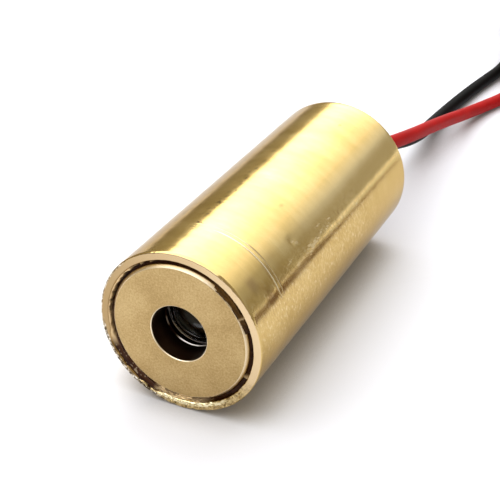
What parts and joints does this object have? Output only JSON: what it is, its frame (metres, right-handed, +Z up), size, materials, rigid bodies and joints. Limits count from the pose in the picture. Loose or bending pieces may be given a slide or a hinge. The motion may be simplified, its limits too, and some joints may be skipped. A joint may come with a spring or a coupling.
{
  "type": "laser diode module",
  "caption": "Brass barrel laser diode module with a round beam aperture in its front lens cell and red and black flying leads at the rear.",
  "frame": {"origin": "on the floor, under the middle of the barrel that lies on its side", "axes": "+Y along the barrel from the beam aperture to the leads, +Z up"},
  "size_m": [0.0099, 0.0492, 0.006],
  "materials": {
    "barrel_brass": "satin, lightly brushed round the axis, worn",
    "cell_brass": "fine matt, turned",
    "brown_adhesive": "clear brown varnish",
    "lens_glass": "polished",
    "retainer_black": "matt",
    "gilt_steel": "gold plated",
    "window_glass": "polished",
    "chip_grey": "polished semiconductor",
    "seal_glass": "fired glass",
    "board_green": "solder mask",
    "chip_part_grey": "glazed body with tinned ends",
    "chip_part_tan": "fired body with tinned ends",
    "black_moulding": "moulded epoxy",
    "solder": "bright tin solder",
    "potting_black": "cured epoxy",
    "red_insulation": "semi-gloss PVC",
    "black_insulation": "semi-gloss PVC",
    "tinned_copper": "tinned strands"
  },
  "bodies": {
    "root": {"housing_tube": "barrel_brass", "lens_cell": "cell_brass", "front_adhesive": "brown_adhesive", "collimating_lens": "lens_glass", "lens_retainer": "retainer_black", "diode_holder": "cell_brass", "diode_header": "gilt_steel", "diode_cap": "gilt_steel", "cap_window": "window_glass", "laser_submount": "gilt_steel", "laser_chip": "chip_grey", "monitor_photodiode": "chip_grey", "header_pins": "gilt_steel", "pin_seals": "seal_glass", "driver_board": "board_green", "driver_resistor": "chip_part_grey", "driver_capacitor": "chip_part_tan", "drive_transistor": "black_moulding", "pin_solder": "solder", "lead_solder": "solder", "rear_potting": "potting_black", "red_lead": "red_insulation", "red_lead_coil": "red_insulation", "red_lead_core": "tinned_copper", "red_lead_tip": "tinned_copper", "black_lead": "black_insulation", "black_lead_coil": "black_insulation", "black_lead_core": "tinned_copper", "black_lead_tip": "tinned_copper"}
  },
  "joints": []
}
